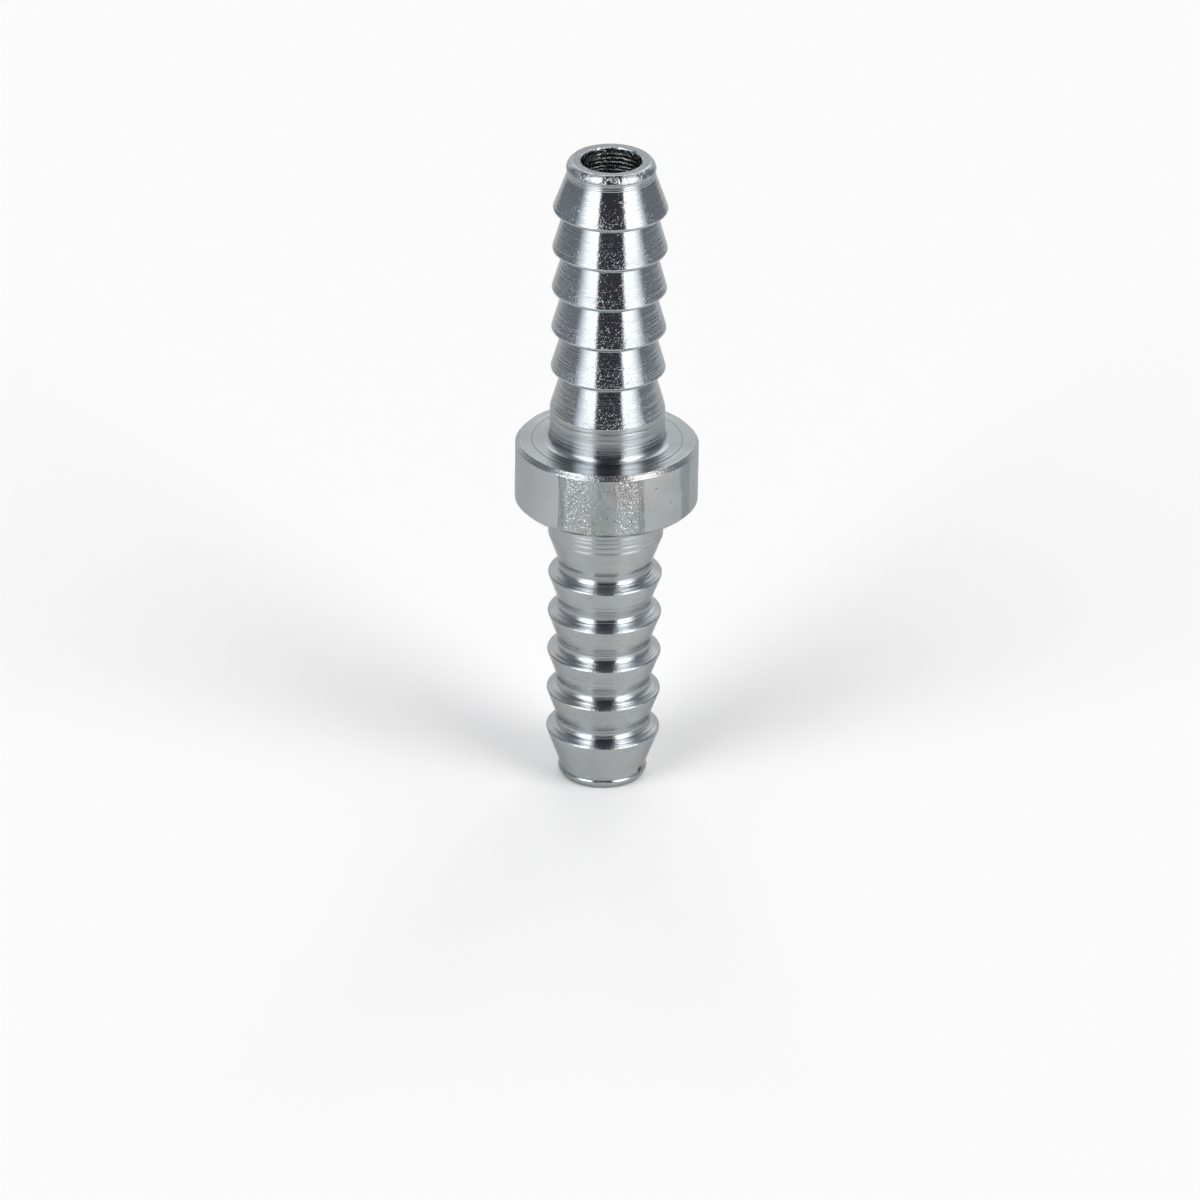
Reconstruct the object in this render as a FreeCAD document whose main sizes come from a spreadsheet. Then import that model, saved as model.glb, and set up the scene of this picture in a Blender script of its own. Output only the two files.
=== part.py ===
import FreeCAD, Part
import os
import Sketcher

# Double-ended barbed hose connector, turned from one round bar.
# Millimetres, +Z up. It stands on its lower end face, with the bore's axis on Z.

os.makedirs("parts", exist_ok=True)
doc = FreeCAD.newDocument("double_ended_hose_connector")

# Driving sizes
sheet = doc.addObject("Spreadsheet::Sheet", "sizes")
driving_sizes = [
    ("collar_diameter", 16.0, "diameter of the bar, which the collar keeps"),
    ("collar_length", 5.9, "between the two hose stop faces"),
    ("collar_chamfer", 0.38, "both rims of the collar"),
    ("stop_bevel", 0.42, "inner corner between each stop face and its tail"),
    ("tail_diameter", 10.05, "plain shank and the crests cut from it"),
    ("shank_length", 3.15, "stop face to the first taper"),
    ("barb_count", 5, "barbs on each tail"),
    ("barb_pitch", 3.77, "crest to crest"),
    ("barb_depth", 0.9, "crest to root, on the radius"),
    ("crest_land", 0.16, "plain rim on each crest"),
    ("shoulder_run", 0.46, "how far a shoulder leans along the axis"),
    ("root_length", 0.55, "plain root between a taper and the next shoulder"),
    ("tip_length", 4.55, "outermost crest to the end face"),
    ("nose_length", 1.08, "plain nose with its lip"),
    ("nose_diameter", 7.68, "nose behind the lip"),
    ("lip_overhang", 0.06, "lip past the nose, on the radius"),
    ("lip_band", 0.07, "straight part of the lip"),
    ("lip_chamfer", 0.37, "outer edge of the end face"),
    ("bore_diameter", 5.2, "through bore"),
    ("bore_edge", 0.07, "broken edge at each mouth of the bore"),
]
for row, (name, value, note) in enumerate(driving_sizes, start=1):
    sheet.set(f"A{row}", name)
    sheet.set(f"B{row}", str(value))
    sheet.setAlias(f"B{row}", name)
    sheet.set(f"C{row}", note)
doc.recompute()

# Radii and heights that several features share, measured from the axis and the mid-plane
stop_face = "sizes.collar_length / 2"
tail_radius = "sizes.tail_diameter / 2"
root_radius = f"({tail_radius} - sizes.barb_depth)"
shank_end = f"({stop_face} + sizes.shank_length)"
first_crest = f"({shank_end} + sizes.barb_pitch)"
last_crest = f"({shank_end} + sizes.barb_count * sizes.barb_pitch)"
taper_start = f"({shank_end} + sizes.crest_land)"
taper_end = f"({first_crest} - sizes.shoulder_run - sizes.root_length)"
root_end = f"({first_crest} - sizes.shoulder_run)"
end_face = f"({last_crest} + sizes.tip_length)"
nose_radius = "sizes.nose_diameter / 2"
lip_radius = f"({nose_radius} + sizes.lip_overhang)"
lip_start = f"({end_face} - sizes.lip_chamfer - sizes.lip_band)"
bore_radius = "sizes.bore_diameter / 2"


def measure(formula):
    return float(sheet.evalExpression(formula))


def origin_part(role):
    return next(item for item in body.Origin.OriginFeatures if item.Role == role)


def new_sketch(name, role):
    sketch = body.newObject("Sketcher::SketchObject", name)
    sketch.AttachmentSupport = [(origin_part(role), "")]
    sketch.MapMode = "FlatFace"
    return sketch


def set_size(sketch, name, kind, *where, formula):
    index = sketch.addConstraint(Sketcher.Constraint(kind, *where, measure(formula)))
    sketch.renameConstraint(index, name)
    sketch.setExpression(f"Constraints.{name}", formula)


def place_corner(sketch, name, line, radius, height):
    # A corner on the axis or on the mid-plane is tied to it, any other is dimensioned from both
    if radius == "0":
        sketch.addConstraint(Sketcher.Constraint("PointOnObject", line, 1, -2))
    else:
        set_size(sketch, name + "_radius", "DistanceX", -1, 1, line, 1, formula=radius)
    if height == "0":
        sketch.addConstraint(Sketcher.Constraint("PointOnObject", line, 1, -1))
    else:
        set_size(sketch, name + "_height", "DistanceY", -1, 1, line, 1, formula=height)


def new_outline(name, corners):
    # Closed half section through these corners, each with a name, a radius and a height
    sketch = new_sketch(name, "XZ_Plane")
    points = [FreeCAD.Vector(measure(radius), measure(height), 0) for _, radius, height in corners]
    for start, end in zip(points, points[1:] + points[:1]):
        sketch.addGeometry(Part.LineSegment(start, end), False)
    for line, (corner, radius, height) in enumerate(corners):
        previous = (line - 1) % len(corners)
        sketch.addConstraint(Sketcher.Constraint("Coincident", previous, 2, line, 1))
        place_corner(sketch, corner, line, radius, height)
    return sketch


def new_circle(name, diameter):
    sketch = new_sketch(name, "XY_Plane")
    circle = Part.Circle(FreeCAD.Vector(), FreeCAD.Vector(0, 0, 1), measure(diameter) / 2)
    index = sketch.addGeometry(circle, False)
    sketch.addConstraint(Sketcher.Constraint("Coincident", index, 3, -1, 1))
    set_size(sketch, "diameter", "Diameter", index, formula=diameter)
    return sketch


def circle_edges(feature, radius, heights):
    # Names of the circular edges round the axis with this radius at any of these heights
    found = []
    for number, edge in enumerate(feature.Shape.Edges, start=1):
        curve = edge.Curve
        if isinstance(curve, Part.Circle) and abs(curve.Radius - radius) < 1e-4:
            if any(abs(curve.Center.z - height) < 1e-4 for height in heights):
                found.append(f"Edge{number}")
    return found


def dress_edges(kind, name, base, edges, size_name, formula):
    feature = body.newObject(kind, name)
    feature.Base = (base, edges)
    feature.setExpression(size_name, formula)
    doc.recompute()
    return feature


body = doc.addObject("PartDesign::Body", "hose_connector")
body.Label = "hose_connector"

# Upper half of the collar, from the mid-plane to the hose stop face
collar = body.newObject("PartDesign::Pad", "collar")
collar.Profile = new_circle("collar_outline", "sizes.collar_diameter")
collar.setExpression("Length", stop_face)
doc.recompute()
collar_edges = circle_edges(collar, measure("sizes.collar_diameter / 2"), [measure(stop_face)])
collar_rim = dress_edges("PartDesign::Chamfer", "collar_rim", collar, collar_edges,
                         "Size", "sizes.collar_chamfer")

# Tail before its barbs are cut: plain cylinder, tip taper, nose and lip
tail_corners = [
    ("axis_foot", "0", "0"),
    ("tail_foot", tail_radius, "0"),
    ("tip_start", tail_radius, f"{last_crest} + sizes.crest_land"),
    ("nose_start", nose_radius, f"{end_face} - sizes.nose_length"),
    ("lip_foot", nose_radius, f"{lip_start} - sizes.lip_overhang"),
    ("lip_start", lip_radius, lip_start),
    ("lip_end", lip_radius, end_face),
    ("axis_top", "0", end_face),
]
tail = body.newObject("PartDesign::Revolution", "tail")
tail.Profile = new_outline("tail_outline", tail_corners)
tail.ReferenceAxis = (tail.Profile[0], ["V_Axis"])
tail.Angle = 360
doc.recompute()
tail_volume = tail.Shape.Volume

# Gap between two crests: taper, plain root and leaning shoulder.
# The cutter's two flanks are carried on past the crest by a quarter of their run.
reach = f"{tail_radius} + sizes.barb_depth / 4"
gap_corners = [
    ("taper_top", reach, f"{taper_start} - ({taper_end} - {taper_start}) / 4"),
    ("taper_foot", root_radius, taper_end),
    ("shoulder_foot", root_radius, root_end),
    ("shoulder_top", reach, f"{first_crest} + sizes.shoulder_run / 4"),
]
gap = body.newObject("PartDesign::Groove", "gap")
gap.Profile = new_outline("gap_outline", gap_corners)
gap.ReferenceAxis = (gap.Profile[0], ["V_Axis"])
gap.Angle = 360
doc.recompute()

# The same gap repeated towards the tip leaves the row of barbs
barbs = body.newObject("PartDesign::LinearPattern", "barbs")
barbs.Originals = [gap]
barbs.Direction = (origin_part("Z_Axis"), [""])
barbs.Mode = "Spacing"
barbs.setExpression("Offset", "sizes.barb_pitch")
barbs.setExpression("Occurrences", "sizes.barb_count")
body.Tip = barbs
doc.recompute()

# Bevelled inner corner at the stop face, and chamfered lip
stop_edges = circle_edges(barbs, measure(tail_radius), [measure(stop_face)])
stop_corner = dress_edges("PartDesign::Chamfer", "stop_corner", barbs, stop_edges,
                          "Size", "sizes.stop_bevel")
lip_edges = circle_edges(stop_corner, measure(lip_radius), [measure(end_face)])
lip = dress_edges("PartDesign::Chamfer", "lip", stop_corner, lip_edges,
                  "Size", "sizes.lip_chamfer")

# Both tails are the same, so the half is mirrored at the collar's mid-plane
both_ends = body.newObject("PartDesign::Mirrored", "both_ends")
both_ends.TransformMode = "Whole shape"
both_ends.MirrorPlane = (origin_part("XY_Plane"), [""])
body.Tip = both_ends
doc.recompute()

# Bore right through, with a broken edge at each mouth
bore = body.newObject("PartDesign::Pocket", "bore")
bore.Profile = new_circle("bore_outline", "sizes.bore_diameter")
bore.Type = "ThroughAll"
bore.SideType = "Symmetric"
doc.recompute()
mouth_heights = [measure(end_face), -measure(end_face)]
mouth_edges = circle_edges(bore, measure(bore_radius), mouth_heights)
mouths = dress_edges("PartDesign::Chamfer", "mouths", bore, mouth_edges,
                     "Size", "sizes.bore_edge")
body.Tip = mouths

# The lower end face is lifted to z = 0
body.setExpression("Placement.Base.z", end_face)
doc.recompute()

# Nothing is written unless every feature stands and every cut has removed material
for item in doc.Objects:
    if "Invalid" in item.State or "Error" in item.State:
        raise RuntimeError(f"{item.Name} failed: {item.State}")
if not gap.Shape.Volume < tail_volume or not bore.Shape.Volume < both_ends.Shape.Volume:
    raise RuntimeError("a cut removed nothing")
if abs(both_ends.Shape.Volume - 2 * lip.Shape.Volume) > 1e-3:
    raise RuntimeError("the mirrored half is missing")
shape = body.Shape
if shape.isNull() or not shape.isValid() or len(shape.Solids) != 1:
    raise RuntimeError("the connector isn't one valid solid")
shape.exportStep(f"parts/{body.Label}.step")
box = shape.BoundBox
print(f"{body.Label}: {box.XLength:.3f} x {box.YLength:.3f} x {box.ZLength:.3f} mm,",
      f"{shape.Volume:.1f} mm3, {len(shape.Faces)} faces")
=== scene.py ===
import math

import bpy
import numpy as np
from mathutils import Matrix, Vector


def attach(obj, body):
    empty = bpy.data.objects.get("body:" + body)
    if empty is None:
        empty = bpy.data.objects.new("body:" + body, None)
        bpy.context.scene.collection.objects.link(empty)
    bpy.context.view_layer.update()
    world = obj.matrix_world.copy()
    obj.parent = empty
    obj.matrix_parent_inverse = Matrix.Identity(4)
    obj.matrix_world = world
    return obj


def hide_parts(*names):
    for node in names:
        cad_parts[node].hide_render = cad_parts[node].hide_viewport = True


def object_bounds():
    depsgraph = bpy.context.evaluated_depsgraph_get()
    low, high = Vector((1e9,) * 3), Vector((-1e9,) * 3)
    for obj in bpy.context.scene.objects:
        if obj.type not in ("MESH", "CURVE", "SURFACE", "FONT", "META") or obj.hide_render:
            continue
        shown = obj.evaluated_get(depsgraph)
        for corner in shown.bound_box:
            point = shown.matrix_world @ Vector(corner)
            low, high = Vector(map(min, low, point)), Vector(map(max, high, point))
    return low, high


# Double-ended hose connector: bright plated turned steel, standing on its lower end.
# Sizes are in millimetres in the dictionaries and in metres in Blender.

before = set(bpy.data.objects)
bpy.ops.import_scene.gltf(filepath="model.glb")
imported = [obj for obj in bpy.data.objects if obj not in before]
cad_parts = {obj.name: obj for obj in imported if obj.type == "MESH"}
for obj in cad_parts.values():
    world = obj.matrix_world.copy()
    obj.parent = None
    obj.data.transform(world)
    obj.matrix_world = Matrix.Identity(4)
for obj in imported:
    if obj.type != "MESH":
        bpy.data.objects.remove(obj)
cadLow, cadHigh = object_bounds()
mm = 0.001
midHeight = (cadLow.z + cadHigh.z) / 2 / mm  # the collar's mid-plane above the floor
print("frame loaded, mid-plane at", round(midHeight, 3), "mm")


cameraView = {
    "elevation": 26.39,    # degrees above the floor
    "distance": 981.7,     # mm from the point it looks at
    "lens": 335.9,         # mm on a 36 mm sensor
    "roll": 0.868,         # degrees, so that the connector's top leans to the right
    "sideShift": -0.403,   # mm, the connector stands a little right of centre
    "lookHeight": 16.72,   # mm above the floor
}


def addCamera():
    lens = bpy.data.cameras.new("camera")
    lens.sensor_width = 36
    lens.lens = cameraView["lens"]
    lens.clip_start = 0.01
    lens.clip_end = 20
    camera = bpy.data.objects.new("camera", lens)
    bpy.context.scene.collection.objects.link(camera)
    tilt = math.radians(cameraView["elevation"])
    place = (cameraView["sideShift"] * mm,
             -cameraView["distance"] * mm * math.cos(tilt),
             (cameraView["lookHeight"] + cameraView["distance"] * math.sin(tilt)) * mm)
    camera.matrix_world = (Matrix.Translation(place)
                           @ Matrix.Rotation(math.pi / 2 - tilt, 4, "X")
                           @ Matrix.Rotation(math.radians(cameraView["roll"]), 4, "Z"))
    bpy.context.scene.camera = camera
    bpy.context.scene.view_settings.view_transform = "Standard"


addCamera()
print("camera placed")


# Adds nodes and joins them in one go: inputs given as a socket are linked, others are set
class nodeBench:
    def __init__(self, tree):
        self.tree = tree
        self.count = 0

    def add(self, kind, *inputs, sockets=None, **settings):
        node = self.tree.nodes.new(kind)
        node.location = (220 * (self.count % 12), -260 * (self.count // 12))
        self.count += 1
        for setting, value in settings.items():
            setattr(node, setting, value)
        for index, value in enumerate(inputs):
            self.feed(node.inputs[index], value)
        for name, value in (sockets or {}).items():
            self.feed(node.inputs[name], value)
        return node

    def feed(self, socket, value):
        if isinstance(value, bpy.types.NodeSocket):
            self.tree.links.new(value, socket)
        else:
            socket.default_value = value

    def math(self, operation, *inputs):
        return self.add("ShaderNodeMath", *inputs, operation=operation).outputs[0]

    def smooth(self, value, low, high, start=0.0, end=1.0):
        return self.add("ShaderNodeMapRange", value, low, high, start, end,
                        interpolation_type="SMOOTHSTEP").outputs[0]

    def between(self, value, low, high, start, end):
        return self.add("ShaderNodeMapRange", value, low, high, start, end).outputs[0]

    def mixValue(self, factor, first, second):
        node = self.add("ShaderNodeMix", data_type="FLOAT")
        for index, value in ((0, factor), (2, first), (3, second)):
            self.feed(node.inputs[index], value)
        return node.outputs[0]

    def mixColour(self, factor, first, second, blend="MIX"):
        node = self.add("ShaderNodeMix", data_type="RGBA", blend_type=blend)
        for index, value in ((0, factor), (6, first), (7, second)):
            self.feed(node.inputs[index], value)
        return node.outputs[2]

    def noise(self, vector, scale, detail=2.0, roughness=0.5):
        return self.add("ShaderNodeTexNoise", vector, sockets={
            "Scale": scale, "Detail": detail, "Roughness": roughness}).outputs["Fac"]

    def total(self, *layers):
        # Height in mm from pairs of a pattern and its depth
        height = None
        for pattern, depth in layers:
            layer = self.math("MULTIPLY", pattern, depth)
            height = layer if height is None else self.math("ADD", height, layer)
        return height


# Two soft panels run from the front up to overhead, with a dark gap between them.
# Places are parts of a direction: depth is -1 in front and 1 behind, rise is 1 straight up.
studio = {
    "middle": 0.05,             # the whole studio stands a little to the right
    "gap": 0.076,               # light from the gap
    "gapFront": 0.465,          # its half width towards the camera
    "gapBack": 0.09,            # and behind the connector
    "gapEnd": (0.50, 0.72),     # it fades away between here and here on the way back
    "gapTint": (0.84, 0.80, 1.0, 1),
    "panel": 2.52,              # light from the panels
    "panelMiddle": 0.075,       # they stand further to the right than the gap
    "panelFade": (0.22, 0.05),  # full up to here past the gap's edge, in front and overhead
    "panelFront": 1.15,         # gone at this share in front
    "panelTop": 0.34,           # and at the back
    "panelNarrow": 0.30,        # narrower overhead by this much
    "frontLift": 1.95,          # they are brighter at middle height in front
    "topDrop": 0.72,            # and dimmer overhead
    "panelEnd": (0.78, 0.92),   # where they end on the way back
    "sides": 0.323,             # dim walls to the left and right
    "sideTint": (0.95, 1.0, 1.09, 1),
    "background": (0.60, 0.78), # how far back and up the white background begins
    "floorShade": 0.865,
    "floorRadius": 240.0,       # mm
    "floorSides": 96,
}


def buildStudio():
    world = bpy.data.worlds.new("studioLight")
    bpy.context.scene.world = world
    world.use_nodes = True
    world.node_tree.nodes.clear()
    bench = nodeBench(world.node_tree)
    direction = bench.add("ShaderNodeTexCoord").outputs["Generated"]
    split = bench.add("ShaderNodeSeparateXYZ", direction)
    depth, rise = split.outputs["Y"], split.outputs["Z"]
    gapEdge = bench.between(depth, -0.9, 0.6, studio["gapFront"], studio["gapBack"])

    def pastGap(middle):
        across = bench.math("ABSOLUTE", bench.math("SUBTRACT", split.outputs["X"], studio[middle]))
        return bench.math("SUBTRACT", across, gapEdge)

    fade = bench.between(rise, 0.6, 0.9, *studio["panelFade"])
    panelReach = bench.math("MAXIMUM", 0.28, bench.math(
        "SUBTRACT", bench.between(depth, -0.9, 0.25, studio["panelFront"], studio["panelTop"]),
        bench.between(rise, 0.6, 0.9, 0.0, studio["panelNarrow"])))
    lift = bench.math("MULTIPLY", bench.smooth(rise, 0.2, 0.36),
                      bench.smooth(depth, -0.35, -0.1, 1.0, 0.0))
    lifted = bench.mixValue(lift, studio["panel"], studio["panel"] * studio["frontLift"])
    panel = bench.math("MULTIPLY", lifted, bench.smooth(rise, 0.75, 0.92, 1.0, studio["topDrop"]))
    panel = bench.mixValue(bench.smooth(depth, *studio["panelEnd"]), panel, studio["sides"])
    aside = bench.smooth(pastGap("panelMiddle"), fade, panelReach)
    clear = bench.math("MAXIMUM", bench.smooth(pastGap("middle"), -0.012, 0.03),
                       bench.smooth(depth, *studio["gapEnd"]))
    level = bench.mixValue(clear, studio["gap"], bench.mixValue(aside, panel, studio["sides"]))
    white = (1, 1, 1, 1)
    tint = bench.mixColour(clear, studio["gapTint"], bench.mixColour(aside, white, studio["sideTint"]))
    # The white background is seen directly, and behind the connector also in metal and glass
    path = bench.add("ShaderNodeLightPath").outputs
    mirrored = bench.math("MAXIMUM", path["Is Glossy Ray"], path["Is Transmission Ray"])
    back = bench.smooth(bench.math("ADD", depth, bench.math("MULTIPLY", rise, 0.35)), *studio["background"])
    mirrored = bench.math("MULTIPLY", mirrored, bench.math("MULTIPLY", clear, back))
    light = bench.add("ShaderNodeBackground", bench.mixColour(mirrored, tint, white),
                      bench.math("MAXIMUM", level, mirrored)).outputs[0]
    backdrop = bench.add("ShaderNodeBackground", white, 1.0).outputs[0]
    bench.add("ShaderNodeOutputWorld", bench.add(
        "ShaderNodeMixShader", path["Is Camera Ray"], light, backdrop).outputs[0])


def buildFloor():
    radius, sides = studio["floorRadius"] * mm, studio["floorSides"]
    ring = [(radius * math.cos(turn), radius * math.sin(turn), 0)
            for turn in np.linspace(0, 2 * math.pi, sides, endpoint=False)]
    mesh = bpy.data.meshes.new("floor")
    mesh.from_pydata(ring, [], [tuple(range(sides))])
    floor = bpy.data.objects.new("floor", mesh)
    bpy.context.scene.collection.objects.link(floor)
    paint = bpy.data.materials.new("paleFloor")
    paint.use_nodes = True
    paint.node_tree.nodes.clear()
    bench = nodeBench(paint.node_tree)
    shade = studio["floorShade"]
    # A little warm, against the cool walls
    coat = bench.add("ShaderNodeBsdfPrincipled", sockets={
        "Base Color": (shade * 1.01, shade, shade * 0.98, 1),
        "Roughness": 0.9, "Specular IOR Level": 0.1})
    bench.add("ShaderNodeOutputMaterial", coat.outputs[0])
    mesh.materials.append(paint)


buildStudio()
buildFloor()
print("studio light and floor ready")


metal = {
    "colour": (0.397, 0.420, 0.433, 1),
    "warmColour": (0.416, 0.414, 0.395, 1),
    "stainColour": (0.305, 0.278, 0.236, 1),
    "paintedBandShade": (0.70, 0.75, 0.75, 1),      # painted shade: darker bands round the collar, standing in for dark reflections
    # Darkened colour: painted shade inside the bore
    "boreShadeColour": (0.20, 0.22, 0.215, 1),
    "groovePaintedShade": (0.12, 0.13, 0.13, 1),    # painted shade in the deeper ring of each stop face
    "speckColour": (0.10, 0.10, 0.10, 1),   # dark specks on the bar's skin
    # Painted shade of the dent on the lower nose
    "dentShadeColour": (0.05, 0.05, 0.055, 1),
    "grazing": (0.68, 0.70, 0.72, 1),       # the plating is duller seen along its surface
    # Roughness and stretch round the axis of each finish
    "turned": (0.15, 0.80),
    "shank": (0.28, 0.70),
    "face": (0.20, 0.88),
    "root": (0.20, 0.86),
    "nose": (0.20, 0.80),
    "lip": (0.14, 0.50),
    "edge": (0.19, 0.30),
    "burr": (0.16, 0.0),
    "satin": (0.42, 0.30),
    "skin": (0.34, 0.20),
    "bore": (0.24, 0.50),
    # Depth of the marks in mm
    "tapers": {"coarse": 0.034, "fine": 0.012, "grain": 0.0052, "dots": 0.0115, "scratches": 0.006},
    "shankRings": 0.11,
    "noseRings": 0.09,
    "faceRings": 0.030,
    "rootRings": 0.08,
    "faceLine": 6.56,           # radius of the one deeper ring on each stop face
    # Bands round the collar: direction and half width in degrees. The speckled ones are rougher bands of
    # the bar's skin; the others carry lumps and painted shade standing in for dark reflections
    "speckledBands": [(-19, 10), (13, 8), (118, 12), (196, 15)],
    "lumpyPaintedShadeBands": [(-1.5, 8), (-29, 2), (22, 1.5), (57.5, 3.5), (62.5, 1), (150, 6), (-112, 5)],
    "endShade": 0.74,           # painted shade: the end faces are darker
    "dent": (3.33, -1.93, 1.12, 0.44),  # dent on the lower nose, painted dark as its shade: its place and radius
}


def startMetal(name):
    material = bpy.data.materials.new(name)
    material.use_nodes = True
    material.node_tree.nodes.clear()
    bench = nodeBench(material.node_tree)
    place = bench.add("ShaderNodeTexCoord").outputs["Object"]
    along = bench.add("ShaderNodeAttribute", attribute_name="alongSection").outputs["Fac"]
    across = bench.add("ShaderNodeVectorMath", place, operation="SCALE",
                       sockets={"Scale": 1 / mm}).outputs[0]
    return material, bench, across, along


def turnedRings(bench, across, along, around, lengthwise, detail=3.0, roughness=0.6):
    # Pattern stretched round the axis: slow round the connector, quick along its section
    slow = bench.add("ShaderNodeVectorMath", across, operation="MULTIPLY")
    slow.inputs[1].default_value = (around, around, 0.0)
    quick = bench.add("ShaderNodeCombineXYZ", 0.0, 0.0, bench.math("MULTIPLY", along, lengthwise))
    both = bench.add("ShaderNodeVectorMath", slow.outputs[0], quick.outputs[0], operation="ADD")
    return bench.noise(both.outputs[0], 1.0, detail, roughness)


def finishMetal(bench, colour, finish, height, roughness=None):
    if roughness is None:
        roughness = metal[finish][0]
    stretch = metal[finish][1]
    bump = bench.add("ShaderNodeBump", sockets={"Height": height, "Distance": mm, "Strength": 1.0})
    tangent = bench.add("ShaderNodeTangent", direction_type="RADIAL", axis="Z")
    coat = bench.add("ShaderNodeBsdfPrincipled", sockets={
        "Base Color": colour, "Metallic": 1.0, "Roughness": roughness, "Anisotropic": stretch,
        "Specular Tint": metal["grazing"],
        "Anisotropic Rotation": 0.25, "Normal": bump.outputs[0], "Tangent": tangent.outputs[0]})
    bench.add("ShaderNodeOutputMaterial", coat.outputs[0])


def cloudyColour(bench, across, stains=0.0):
    cloud = bench.smooth(bench.noise(across, 0.35, 3.0), 0.3, 0.7, 0.94, 1.05)
    warm = bench.smooth(bench.noise(across, 0.22, 2.0), 0.52, 0.75)
    base = bench.mixColour(warm, metal["colour"], metal["warmColour"])
    shade = bench.add("ShaderNodeCombineColor", cloud, cloud, cloud).outputs[0]
    base = bench.mixColour(1.0, base, shade, "MULTIPLY")
    if stains:
        spots = bench.smooth(bench.noise(across, 1.3, 4.0, 0.65), 0.60, 0.76, 0.0, stains)
        base = bench.mixColour(spots, base, metal["stainColour"])
    return base


def paintDentShade(bench, across, colour):
    # Painted shade: a dark spot in the colour where the dent is, with no hollow in the surface
    x, y, z, radius = metal["dent"]
    distance = bench.add("ShaderNodeVectorMath", across, (x, y, z), operation="DISTANCE").outputs["Value"]
    ragged = bench.math("ADD", distance, bench.between(bench.noise(across, 3.0), 0.3, 0.7, -0.08, 0.08))
    inside = bench.smooth(ragged, radius * 0.5, radius, 1.0, 0.0)
    return bench.mixColour(inside, colour, metal["dentShadeColour"])


def fromAxis(bench, across):
    flat = bench.add("ShaderNodeVectorMath", across, (1.0, 1.0, 0.0), operation="MULTIPLY").outputs[0]
    return bench.add("ShaderNodeVectorMath", flat, operation="LENGTH").outputs["Value"]


def turnedMetal():
    material, bench, across, along = startMetal("turnedSteel")
    depths = metal["tapers"]
    coarse = turnedRings(bench, across, along, 0.07, 2.6, 3.0, 0.65)
    fine = turnedRings(bench, across, along, 0.12, 8.0, 2.0)
    grain = bench.noise(across, 7.5, 1.0, 0.6)
    # Bright torn dots, more of them towards each crest
    radius = fromAxis(bench, across)
    cells = bench.add("ShaderNodeTexVoronoi", across, sockets={"Scale": 7.5})
    chosen = bench.smooth(bench.math("ADD", bench.noise(across, 7.0, 1.0),
                                     bench.smooth(radius, 4.1, 5.0, -0.12, 0.05)), 0.51, 0.58)
    dots = bench.math("MULTIPLY", bench.smooth(cells.outputs["Distance"], 0.1, 0.42, 1.0, 0.0), chosen)
    # A few light scratches across the turning marks
    slant = bench.add("ShaderNodeMapping", across, sockets={
        "Rotation": (0.5, 0.3, 0.9), "Scale": (0.5, 3.2, 3.2)}).outputs[0]
    scratches = bench.smooth(bench.noise(slant, 1.2, 1.0), 0.70, 0.75)
    height = bench.total((coarse, depths["coarse"]), (fine, depths["fine"]), (grain, depths["grain"]),
                         (dots, depths["dots"]), (scratches, -depths["scratches"]))
    finishMetal(bench, cloudyColour(bench, across, 0.45), "turned", height)
    return material


def ringedMetal(name, finish, depth, closeness):
    material, bench, across, along = startMetal(name)
    coarse = turnedRings(bench, across, along, 0.035, closeness, 2.0, 0.65)
    grain = bench.noise(across, 6.0, 2.0, 0.6)
    # Painted shade of the dent on the lower nose
    colour = paintDentShade(bench, across, cloudyColour(bench, across))
    finishMetal(bench, colour, finish, bench.total((coarse, depth), (grain, 0.006)))
    return material


def faceMetal():
    material, bench, across, along = startMetal("stopFaceSteel")
    rings = turnedRings(bench, across, along, 0.04, 3.0, 2.0, 0.65)
    grain = bench.noise(across, 6.0, 2.0, 0.6)
    away = bench.math("ABSOLUTE", bench.math("SUBTRACT", fromAxis(bench, across), metal["faceLine"]))
    line = bench.smooth(away, 0.02, 0.07, 1.0, 0.0)
    height = bench.total((rings, metal["faceRings"]), (grain, 0.005), (line, -0.03))
    # The deeper ring is darkened with painted shade
    colour = bench.mixColour(bench.math("MULTIPLY", line, 0.4), cloudyColour(bench, across),
                             metal["groovePaintedShade"])
    finishMetal(bench, colour, "face", height)
    return material


def rootMetal():
    material, bench, across, along = startMetal("rootSteel")
    rings = turnedRings(bench, across, along, 0.05, 3.6, 3.0, 0.65)
    grain = bench.noise(across, 6.0, 2.0, 0.6)
    finishMetal(bench, cloudyColour(bench, across), "root",
                bench.total((rings, metal["rootRings"]), (grain, 0.005)))
    return material


def edgeMetal():
    material, bench, across, along = startMetal("brightEdge")
    nicks = bench.noise(across, 4.5, 3.0, 0.7)
    lines = turnedRings(bench, across, along, 0.3, 5.0, 2.0)
    finishMetal(bench, cloudyColour(bench, across), "edge", bench.total((nicks, 0.035), (lines, 0.03)))
    return material


def tornMetal(name, finish, depth, shade=1.0):
    # Duller end face, lip and burr, torn in patches
    material, bench, across, _ = startMetal(name)
    grain = bench.noise(across, 5.0, 3.0, 0.65)
    torn = bench.smooth(bench.noise(across, 1.7, 3.0, 0.6), 0.48, 0.60)
    height = bench.total((grain, depth * 0.25), (bench.math("MULTIPLY", torn, grain), depth))
    # shade darkens the colour; on the end faces it is painted shade
    colour = bench.mixColour(1.0, cloudyColour(bench, across, 0.3), (shade, shade, shade, 1), "MULTIPLY")
    # Painted shade of the dent on the lower nose
    finishMetal(bench, paintDentShade(bench, across, colour), finish, height)
    return material


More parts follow.
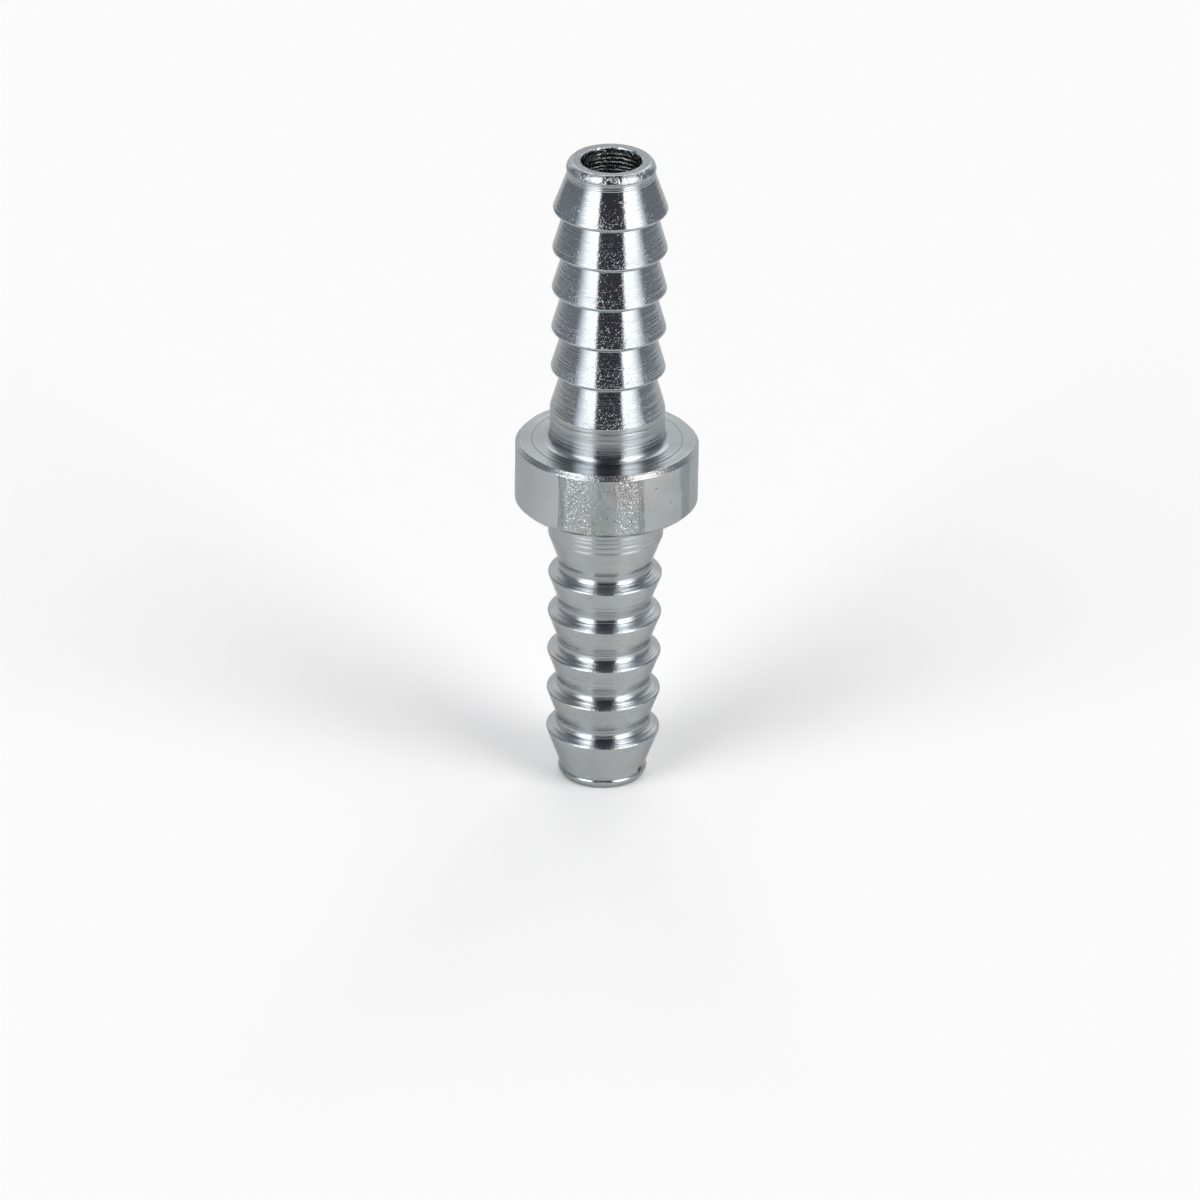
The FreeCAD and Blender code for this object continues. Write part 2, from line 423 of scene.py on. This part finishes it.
def barSkin():
    material, bench, across, _ = startMetal("drawnBarSkin")
    split = bench.add("ShaderNodeSeparateXYZ", across)
    turn = bench.math("DEGREES", bench.math("ARCTAN2", split.outputs["X"],
                                            bench.math("MULTIPLY", split.outputs["Y"], -1.0)))
    # The bar was drawn lengthwise, so its streaks run along the axis
    drawn = bench.add("ShaderNodeMapping", across, sockets={"Scale": (3.5, 3.5, 0.25)}).outputs[0]
    streaks = bench.noise(drawn, 1.0, 3.0, 0.6)
    turn = bench.math("ADD", turn, bench.between(streaks, 0.3, 0.7, -2.0, 2.0))

    def bands(choice):
        found = 0.0
        for middle, half in metal[choice]:
            middle = (middle + 180) % 360 - 180
            away = bench.math("ABSOLUTE", bench.math("SUBTRACT", turn, float(middle)))
            found = bench.math("MAXIMUM", found, bench.smooth(away, half * 0.6, half * 1.3, 1.0, 0.0))
        return found

    speckle = bench.noise(across, 4.4, 1.0, 0.6)
    speckled, bandShadeMask = bands("speckledBands"), bands("lumpyPaintedShadeBands")
    lumps = bench.math("MULTIPLY", bench.noise(across, 1.6, 3.0, 0.6), bandShadeMask)
    height = bench.total((bench.noise(across, 5.0, 2.0), 0.02), (streaks, 0.02), (lumps, 0.22),
                         (bench.math("MULTIPLY", speckle, speckled), 0.20))
    specks = bench.smooth(bench.noise(across, 1.7, 2.0, 0.6), 0.73, 0.78)
    # The darker bands are painted shade, standing in for dark reflections
    shaded = bench.mixColour(bench.math("MULTIPLY", bandShadeMask, 0.75), (1, 1, 1, 1), metal["paintedBandShade"])
    colour = bench.mixColour(1.0, cloudyColour(bench, across), shaded, "MULTIPLY")
    colour = bench.mixColour(specks, colour, metal["speckColour"])
    finishMetal(bench, colour, "skin", height, bench.mixValue(speckled, metal["skin"][0], 0.20))
    return material


def boreMetal():
    material, bench, across, along = startMetal("drilledBore")
    rings = turnedRings(bench, across, along, 0.3, 2.4, 2.0)
    torn = bench.noise(across, 4.0, 2.0, 0.6)
    cells = bench.add("ShaderNodeTexVoronoi", across, sockets={"Scale": 4.5})
    chips = bench.math("MULTIPLY", bench.smooth(cells.outputs["Distance"], 0.08, 0.40, 1.0, 0.0),
                       bench.smooth(bench.noise(across, 2.2, 1.0), 0.55, 0.60))
    # The bore's darker colour is painted shade
    finishMetal(bench, metal["boreShadeColour"], "bore",
                bench.total((rings, 0.14), (torn, 0.10), (chips, 0.12)))
    return material


connector = {
    "segments": 192,        # round the axis
    "halfHeight": 29.5,     # from the collar's mid-plane to an end face, as all the heights below
    "collarRadius": 8.0,
    "stopHeight": 2.95,
    "collarChamfer": 0.38,
    "rimRound": 0.08,       # edges of that chamfer
    "stopFillet": 0.5,
    "dullShank": 4.40,      # the shank is duller from here to its end
    "tailRadius": 5.025,
    "shankEnd": 6.10,
    "barbPitch": 3.77,
    "barbCount": 5,
    # Hollow between a taper and the next shoulder: the radius where it starts, its length,
    # how far the shoulder past it runs along the axis, its steps and its lean in degrees
    "upperRoot": {"foot": 4.11, "length": 0.14, "shoulder": 0.46, "steps": 3,
                  "lean": [(0, -18), (1, 0)]},
    "lowerRoot": {"foot": 4.21, "length": 0.95, "shoulder": 0.57, "steps": 12,
                  "lean": [(0, -20), (0.5, -9), (0.62, 8), (0.72, 17), (1, 24)]},
    "shankRound": 0.30,     # where the shank turns into the first taper
    "crestRound": 0.20,
    "noseStart": 28.13,
    "noseRadius": 3.88,     # at its lower end, it narrows a little towards the lip
    "noseTop": 3.80,
    "noseRound": 0.25,
    "neck": 28.70,          # where it meets the lip
    "lipStep": 0.03,        # small step between neck and lip
    "lipRadius": 3.90,
    "lipFoot": 28.80,       # the lip is rounded from here
    "lipRound": 0.54,       # by this much on the radius
    "boreRadius": 2.6,
    "boreEdge": 0.16,
    "burrBand": 0.06,       # torn ring on the end face, round the mouth
    "burrDepth": 0.14,      # torn edge just inside each mouth
    "burrRough": 0.07,      # how far it is torn back
    "drillMarks": {"pitch": 0.38, "depth": 0.05, "reach": 5.0, "steps": 5},
}


def straight(start, end, count=1, ease=0.04):
    # Points of a straight run, with a close pair near each end so that its shading stays straight
    (r0, z0), (r1, z1) = start, end
    length = math.hypot(r1 - r0, z1 - z0)
    near = min(ease / length, 0.2)
    shares = [0, near] + list(np.linspace(near, 1 - near, count + 2)[1:-1]) + [1 - near, 1]
    return [(r0 + (r1 - r0) * share, z0 + (z1 - z0) * share) for share in shares]


def rounded(corner, before, after, radius, count=4):
    # Arc that replaces a corner between two straight runs
    corner, before, after = (np.array(point, float) for point in (corner, before, after))
    toBefore = (before - corner) / np.linalg.norm(before - corner)
    toAfter = (after - corner) / np.linalg.norm(after - corner)
    half = math.acos(np.clip(toBefore @ toAfter, -1, 1)) / 2
    reach = radius / math.tan(half)
    middle = (toBefore + toAfter) / np.linalg.norm(toBefore + toAfter)
    centre = corner + middle * radius / math.sin(half)
    first, last = corner + toBefore * reach, corner + toAfter * reach
    points = []
    for share in np.linspace(0, 1, count + 1):
        mixed = (first - centre) * (1 - share) + (last - centre) * share
        points.append(tuple(centre + mixed / np.linalg.norm(mixed) * radius))
    return points


def halfSection(root):
    # Half of the outline, from the collar's mid-plane up to the bore's mouth: (radius, height, finish)
    size = connector
    section = []

    def lay(points, finish):
        for point in points:
            if section and math.hypot(point[0] - section[-1][0], point[1] - section[-1][1]) < 1e-4:
                section[-1] = (section[-1][0], section[-1][1], finish)
                continue
            section.append((point[0], point[1], finish))

    collar, stop, chamfer = size["collarRadius"], size["stopHeight"], size["collarChamfer"]
    tail = size["tailRadius"]
    rimFoot, rimTop = (collar, stop - chamfer), (collar - chamfer, stop)
    foot = rounded(rimFoot, (collar, 0), rimTop, size["rimRound"], 3)
    top = rounded(rimTop, rimFoot, (tail, stop), size["rimRound"], 3)
    lay(straight((collar, 0), foot[0]), "skin")
    lay(foot, "edge")
    lay(straight(foot[-1], top[0]), "edge")
    lay(top, "edge")
    fillet = rounded((tail, stop), (collar, stop), (tail, size["shankEnd"]), size["stopFillet"], 8)
    lay(straight(top[-1], fillet[0], 3), "face")
    lay(fillet, "root")
    before, rounding = (tail, stop), size["shankRound"]
    for barb in range(size["barbCount"] + 1):
        crest = (tail, size["shankEnd"] + barb * size["barbPitch"])
        taperFoot = (root["foot"], crest[1] + size["barbPitch"] - root["shoulder"] - root["length"])
        if barb == size["barbCount"]:
            taperFoot = (size["noseRadius"], size["noseStart"])
        edge = rounded(crest, before, taperFoot, rounding, 4)
        if barb == 0:
            lay(straight(fillet[-1], (tail, size["dullShank"])), "root")
            lay(straight((tail, size["dullShank"]), edge[0]), "shank")
        else:
            lay(straight(before, edge[0]), "root")
        lay(edge, "edge" if barb else "turned")
        if barb == size["barbCount"]:
            break
        lay(straight(edge[-1], taperFoot), "turned")
        # The hollow follows its lean from the taper's foot to the shoulder
        shares, leans = zip(*root["lean"])
        reach, hollow = taperFoot[0], []
        for share in np.linspace(0, 1, root["steps"] + 1)[1:]:
            lean = np.interp(share - 0.5 / root["steps"], shares, leans)
            reach += math.tan(math.radians(lean)) * root["length"] / root["steps"]
            hollow.append((reach, taperFoot[1] + share * root["length"]))
        lay(hollow, "root")
        before, rounding = hollow[-1], size["crestRound"]
    neck = (size["noseTop"], size["neck"])
    waist = rounded(taperFoot, crest, neck, size["noseRound"], 4)
    lay(straight(edge[-1], waist[0]), "turned")
    lay(waist, "nose")
    lay(straight(waist[-1], neck, ease=0.02), "nose")
    end, lip, lipFoot = size["halfHeight"], size["lipRadius"], size["lipFoot"]
    rise = end - lipFoot
    lay([(lip - size["lipStep"], lipFoot - size["lipStep"])], "lip")
    # Flatter in the middle than an ellipse, like a worn chamfer
    lay([(lip - size["lipRound"] * (1 - math.cos(turn) ** 1.2), lipFoot + rise * math.sin(turn) ** 1.2)
         for turn in np.linspace(0, math.pi / 2, 13)], "lip")
    mouth = size["boreRadius"] + size["boreEdge"]
    burr = mouth + size["burrBand"]
    lay(straight((lip - size["lipRound"], end), (burr, end)), "satin")
    lay(straight((burr, end), (mouth, end)), "burr")
    lay(rounded((size["boreRadius"], end), (mouth, end), (size["boreRadius"], 0),
                size["boreEdge"] * 0.9, 3), "burr")
    return section


def boreWall(top):
    # From the upper mouth down to the lower one, with a torn edge and drill marks at both ends
    bore, marks = connector["boreRadius"], connector["drillMarks"]
    burr = connector["burrDepth"]
    half = [(bore, 0.02, "burr"), (bore, burr / 2, "burr"), (bore, burr, "burr")]
    for depth in np.arange(burr, marks["reach"], marks["pitch"] / marks["steps"])[1:]:
        swell = 0.5 - 0.5 * math.cos(2 * math.pi * (depth - burr) / marks["pitch"])
        half.append((bore + marks["depth"] * swell ** 0.6, depth, "bore"))
    upper = [(r, top - depth, finish) for r, depth, finish in half]
    plainTop = top - marks["reach"] - 0.1
    plain = [(r, z, "bore") for r, z in straight((bore, plainTop), (bore, -plainTop))]
    lower = [(r, depth - top, finish) for r, depth, finish in half[::-1]]
    return upper + plain + lower


def wholeSection():
    # Mid-plane to the upper mouth, down the bore and back up outside the lower half
    upper, under = halfSection(connector["upperRoot"]), halfSection(connector["lowerRoot"])
    # A run's finish is kept with its first point, so the mirrored half takes its neighbour's
    finishes = [point[2] for point in under[-2::-1]]
    lower = [(r, -z, finish) for (r, z, _), finish in zip(under[:0:-1], finishes)]
    return upper + boreWall(upper[-1][1]) + lower


def buildConnector():
    section = wholeSection()
    count, segments = len(section), connector["segments"]
    turns = np.linspace(0, 2 * math.pi, segments, endpoint=False)
    radii = np.array([point[0] for point in section])
    heights = np.array([point[1] for point in section]) + midHeight
    along = np.concatenate([[0], np.cumsum(np.hypot(np.diff(radii), np.diff(heights)))])
    places = np.empty((count, segments, 3))
    places[:, :, 0] = radii[:, None] * np.sin(turns)[None, :]
    places[:, :, 1] = -radii[:, None] * np.cos(turns)[None, :]
    places[:, :, 2] = heights[:, None]
    # Uneven burr where the bore breaks out, never into the bore
    chance = np.random.default_rng(7)
    blur = [0.1, 0.2, 0.4, 0.2, 0.1]
    for row, (reach, _, finish) in enumerate(section):
        if finish == "burr" and reach < connector["boreRadius"] + connector["boreEdge"] * 1.1:
            rough = np.tile(chance.uniform(0, connector["burrRough"], segments), 3)
            rough = np.convolve(rough, blur, "same")[segments:2 * segments]
            places[row, :, :2] *= 1 + rough[:, None] / reach
    faces, finishOf = [], []
    finishes = {"turned": turnedMetal(), "face": faceMetal(), "root": rootMetal(), "edge": edgeMetal(),
                "shank": ringedMetal("shankSteel", "shank", metal["shankRings"], 3.8),
                "nose": ringedMetal("noseSteel", "nose", metal["noseRings"], 4.6),
                "satin": tornMetal("satinEnd", "satin", 0.06, metal["endShade"]),
                "lip": tornMetal("tornLip", "lip", 0.045),
                "burr": tornMetal("brokenBurr", "burr", 0.07), "skin": barSkin(), "bore": boreMetal()}
    for row in range(count):
        following = (row + 1) % count
        finish = list(finishes).index(section[row][2])
        for turn in range(segments):
            side = (turn + 1) % segments
            faces.append((row * segments + turn, row * segments + side,
                          following * segments + side, following * segments + turn))
            finishOf.append(finish)
    mesh = bpy.data.meshes.new("hoseConnector")
    mesh.from_pydata((places * mm).reshape(-1, 3).tolist(), [], faces)
    attribute = mesh.attributes.new("alongSection", "FLOAT", "POINT")
    attribute.data.foreach_set("value", np.repeat(along, segments))
    for material in finishes.values():
        mesh.materials.append(material)
    mesh.polygons.foreach_set("material_index", finishOf)
    mesh.polygons.foreach_set("use_smooth", [True] * len(faces))
    mesh.update()
    piece = bpy.data.objects.new("turnedConnector", mesh)
    bpy.context.scene.collection.objects.link(piece)
    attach(piece, "root")
    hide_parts("hose_connector")
    print("connector turned:", count, "rings,", 2 * len(faces), "triangles")


buildConnector()
